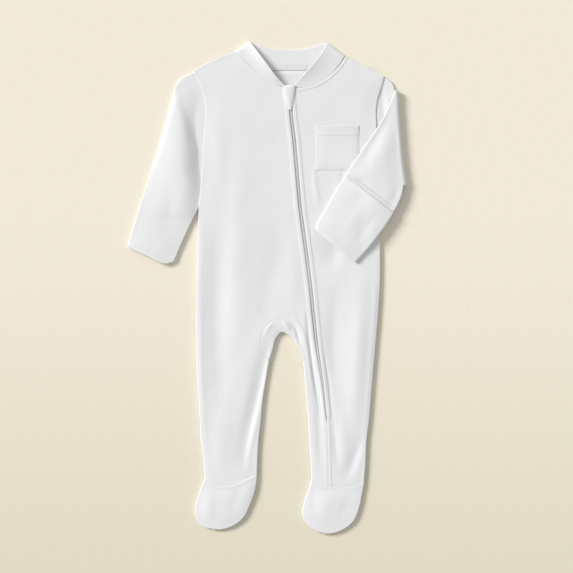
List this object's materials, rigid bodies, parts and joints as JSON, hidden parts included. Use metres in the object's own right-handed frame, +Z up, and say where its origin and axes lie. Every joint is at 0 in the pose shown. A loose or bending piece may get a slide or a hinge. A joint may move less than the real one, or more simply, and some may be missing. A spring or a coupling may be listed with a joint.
{
  "type": "footed baby sleepsuit laid flat",
  "caption": "White cotton-jersey footed baby sleepsuit with a zip front and a chest pocket, lying on its back with one sleeve folded over the chest.",
  "frame": {"origin": "middle of the laid-out suit's outline, on the surface that it lies on", "axes": "+Z up from that surface, +Y from the toes to the neck, +X towards the wearer's left side"},
  "size_m": [0.3492, 0.616, 0.0125],
  "materials": {
    "white_jersey": "soft matte cotton interlock",
    "white_rib": "soft matte fine cotton rib",
    "zip_tape": "woven tape",
    "zip_coil": "moulded nylon coil",
    "zip_slider": "satin lacquer"
  },
  "bodies": {
    "root": {"body_back": "white_jersey", "body_front_right": "white_jersey", "body_front_left": "white_jersey", "crotch_gusset": "white_jersey", "foot_upper_right": "white_jersey", "foot_sole_right": "white_jersey", "foot_upper_left": "white_jersey", "foot_sole_left": "white_jersey", "sleeve_right": "white_jersey", "mitten_flap_right": "white_jersey", "sleeve_left": "white_jersey", "mitten_flap_left": "white_jersey", "neckband": "white_rib", "zip_tape": "zip_tape", "zip_coil": "zip_coil", "zip_slider": "zip_slider", "zip_guard": "white_jersey", "pocket": "white_jersey"}
  },
  "joints": []
}
